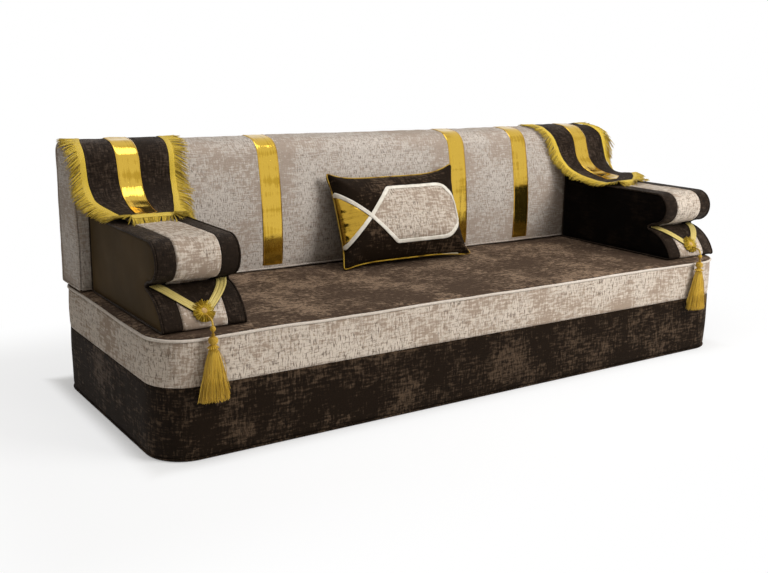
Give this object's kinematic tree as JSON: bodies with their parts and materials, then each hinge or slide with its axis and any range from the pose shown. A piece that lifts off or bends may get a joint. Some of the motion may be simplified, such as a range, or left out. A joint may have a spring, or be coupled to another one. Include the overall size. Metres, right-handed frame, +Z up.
{
  "type": "majlis floor sofa",
  "caption": "Long low floor sofa in brown and beige velvet with roll-front arms, fringed gold-striped arm throws, tassels and a pillow.",
  "frame": {"origin": "on the floor, under the middle of the seat cushion", "axes": "+X along the sofa's length to the sitter's left (the picture's right), +Y from the front to the back, +Z up"},
  "size_m": [2.254, 0.8837, 0.7799],
  "materials": {
    "brown_velvet": "matte",
    "beige_velvet": "matte",
    "brown_suede": "matte",
    "dark_lining": "matte",
    "gold_foil": "gloss",
    "gold_yarn": "satin",
    "gold_braid": "satin",
    "tan_satin": "satin",
    "cream_ribbon": "satin",
    "foam": "matte",
    "zip_tape": "matte",
    "zip_brass": "satin",
    "hook_and_loop": "matte"
  },
  "bodies": {
    "sofa": {"backrest_cover": "beige_velvet", "backrest_end_panels": "beige_velvet", "backrest_end_piping": "beige_velvet", "backrest_foam": "foam", "backrest_foot_piping": "beige_velvet", "backrest_gold_stripes": "gold_foil", "backrest_zip_tape": "zip_tape", "hook_strips": "hook_and_loop", "loop_strips": "hook_and_loop", "seat_base_foam": "foam", "seat_bottom_panel": "dark_lining", "seat_bottom_piping": "brown_velvet", "seat_lower_border": "brown_velvet", "seat_top_foam": "foam", "seat_top_panel": "brown_velvet", "seat_top_piping": "beige_velvet", "seat_upper_border": "beige_velvet", "seat_zip_tape": "zip_tape"},
    "left_arm": {"left_arm_cover": "brown_velvet", "left_arm_flap": "brown_velvet", "left_arm_foam": "foam", "left_arm_piping": "brown_velvet", "left_arm_side_panels": "brown_suede", "left_arm_stripe": "beige_velvet", "left_flap_braid": "gold_braid", "left_rosette": "gold_yarn", "left_rosette_button": "tan_satin"},
    "left_tassel_cord": {"left_tassel_cord": "gold_yarn"},
    "left_tassel": {"left_tassel_head": "gold_yarn", "left_tassel_skirt": "gold_yarn"},
    "left_throw": {"left_throw_cloth": "brown_velvet", "left_throw_fringe": "gold_yarn", "left_throw_stripe": "gold_foil"},
    "right_arm": {"right_arm_cover": "brown_velvet", "right_arm_flap": "brown_velvet", "right_arm_foam": "foam", "right_arm_piping": "brown_velvet", "right_arm_side_panels": "brown_suede", "right_arm_stripe": "beige_velvet", "right_flap_braid": "gold_braid", "right_rosette": "gold_yarn", "right_rosette_button": "tan_satin"},
    "right_tassel_cord": {"right_tassel_cord": "gold_yarn"},
    "right_tassel": {"right_tassel_head": "gold_yarn", "right_tassel_skirt": "gold_yarn"},
    "right_throw": {"right_throw_cloth": "brown_velvet", "right_throw_fringe": "gold_yarn", "right_throw_stripe": "gold_foil"},
    "pillow": {"pillow_back_cover": "brown_velvet", "pillow_filling": "foam", "pillow_front_cover": "brown_velvet", "pillow_gold_corner": "gold_foil", "pillow_panel": "beige_velvet", "pillow_piping": "gold_yarn", "pillow_ribbon": "cream_ribbon"},
    "seat_zip_slider": {"seat_zip_slider": "zip_brass"},
    "seat_zip_pull": {"seat_zip_pull": "zip_brass"},
    "backrest_zip_slider": {"backrest_zip_slider": "zip_brass"},
    "backrest_zip_pull": {"backrest_zip_pull": "zip_brass"}
  },
  "joints": [
    {"name": "left_arm_lift", "type": "slide", "parent": "sofa", "child": "left_arm", "axis": [0, 0, 1], "range_m": [0, 0.45]},
    {"name": "left_tassel_cord_swing", "type": "hinge", "parent": "left_arm", "child": "left_tassel_cord", "pos_m": [-0.947, -0.3664, 0.3804], "axis": [0, 1, 0], "range_deg": [-25, 25]},
    {"name": "left_tassel_swing", "type": "hinge", "parent": "left_tassel_cord", "child": "left_tassel", "pos_m": [-0.959, -0.437, 0.3602], "axis": [-1, 0, 0], "range_deg": [0, 60]},
    {"name": "left_throw_lift", "type": "slide", "parent": "left_arm", "child": "left_throw", "axis": [0, 0, 1], "range_m": [0, 0.3]},
    {"name": "right_arm_lift", "type": "slide", "parent": "sofa", "child": "right_arm", "axis": [0, 0, 1], "range_m": [0, 0.45]},
    {"name": "right_tassel_cord_swing", "type": "hinge", "parent": "right_arm", "child": "right_tassel_cord", "pos_m": [0.98, -0.3664, 0.3804], "axis": [0, 1, 0], "range_deg": [-25, 25]},
    {"name": "right_tassel_swing", "type": "hinge", "parent": "right_tassel_cord", "child": "right_tassel", "pos_m": [0.938, -0.437, 0.3602], "axis": [-1, 0, 0], "range_deg": [0, 60]},
    {"name": "right_throw_lift", "type": "slide", "parent": "right_arm", "child": "right_throw", "axis": [0, 0, 1], "range_m": [0, 0.3]},
    {"name": "pillow_lift", "type": "slide", "parent": "sofa", "child": "pillow", "axis": [0, 0, 1], "range_m": [0, 0.45]},
    {"name": "seat_zip_run", "type": "slide", "parent": "sofa", "child": "seat_zip_slider", "axis": [-1, 0, 0], "range_m": [0, 1.35]},
    {"name": "seat_zip_pull_swing", "type": "hinge", "parent": "seat_zip_slider", "child": "seat_zip_pull", "pos_m": [0.69, 0.4254, 0.29], "axis": [1, 0, 0], "range_deg": [0, 150]},
    {"name": "backrest_zip_run", "type": "slide", "parent": "sofa", "child": "backrest_zip_slider", "axis": [-1, 0, 0], "range_m": [0, 1.35]},
    {"name": "backrest_zip_pull_swing", "type": "hinge", "parent": "backrest_zip_slider", "child": "backrest_zip_pull", "pos_m": [0.69, 0.3824, 0.4042], "axis": [1, 0, 0], "range_deg": [0, 150]}
  ]
}
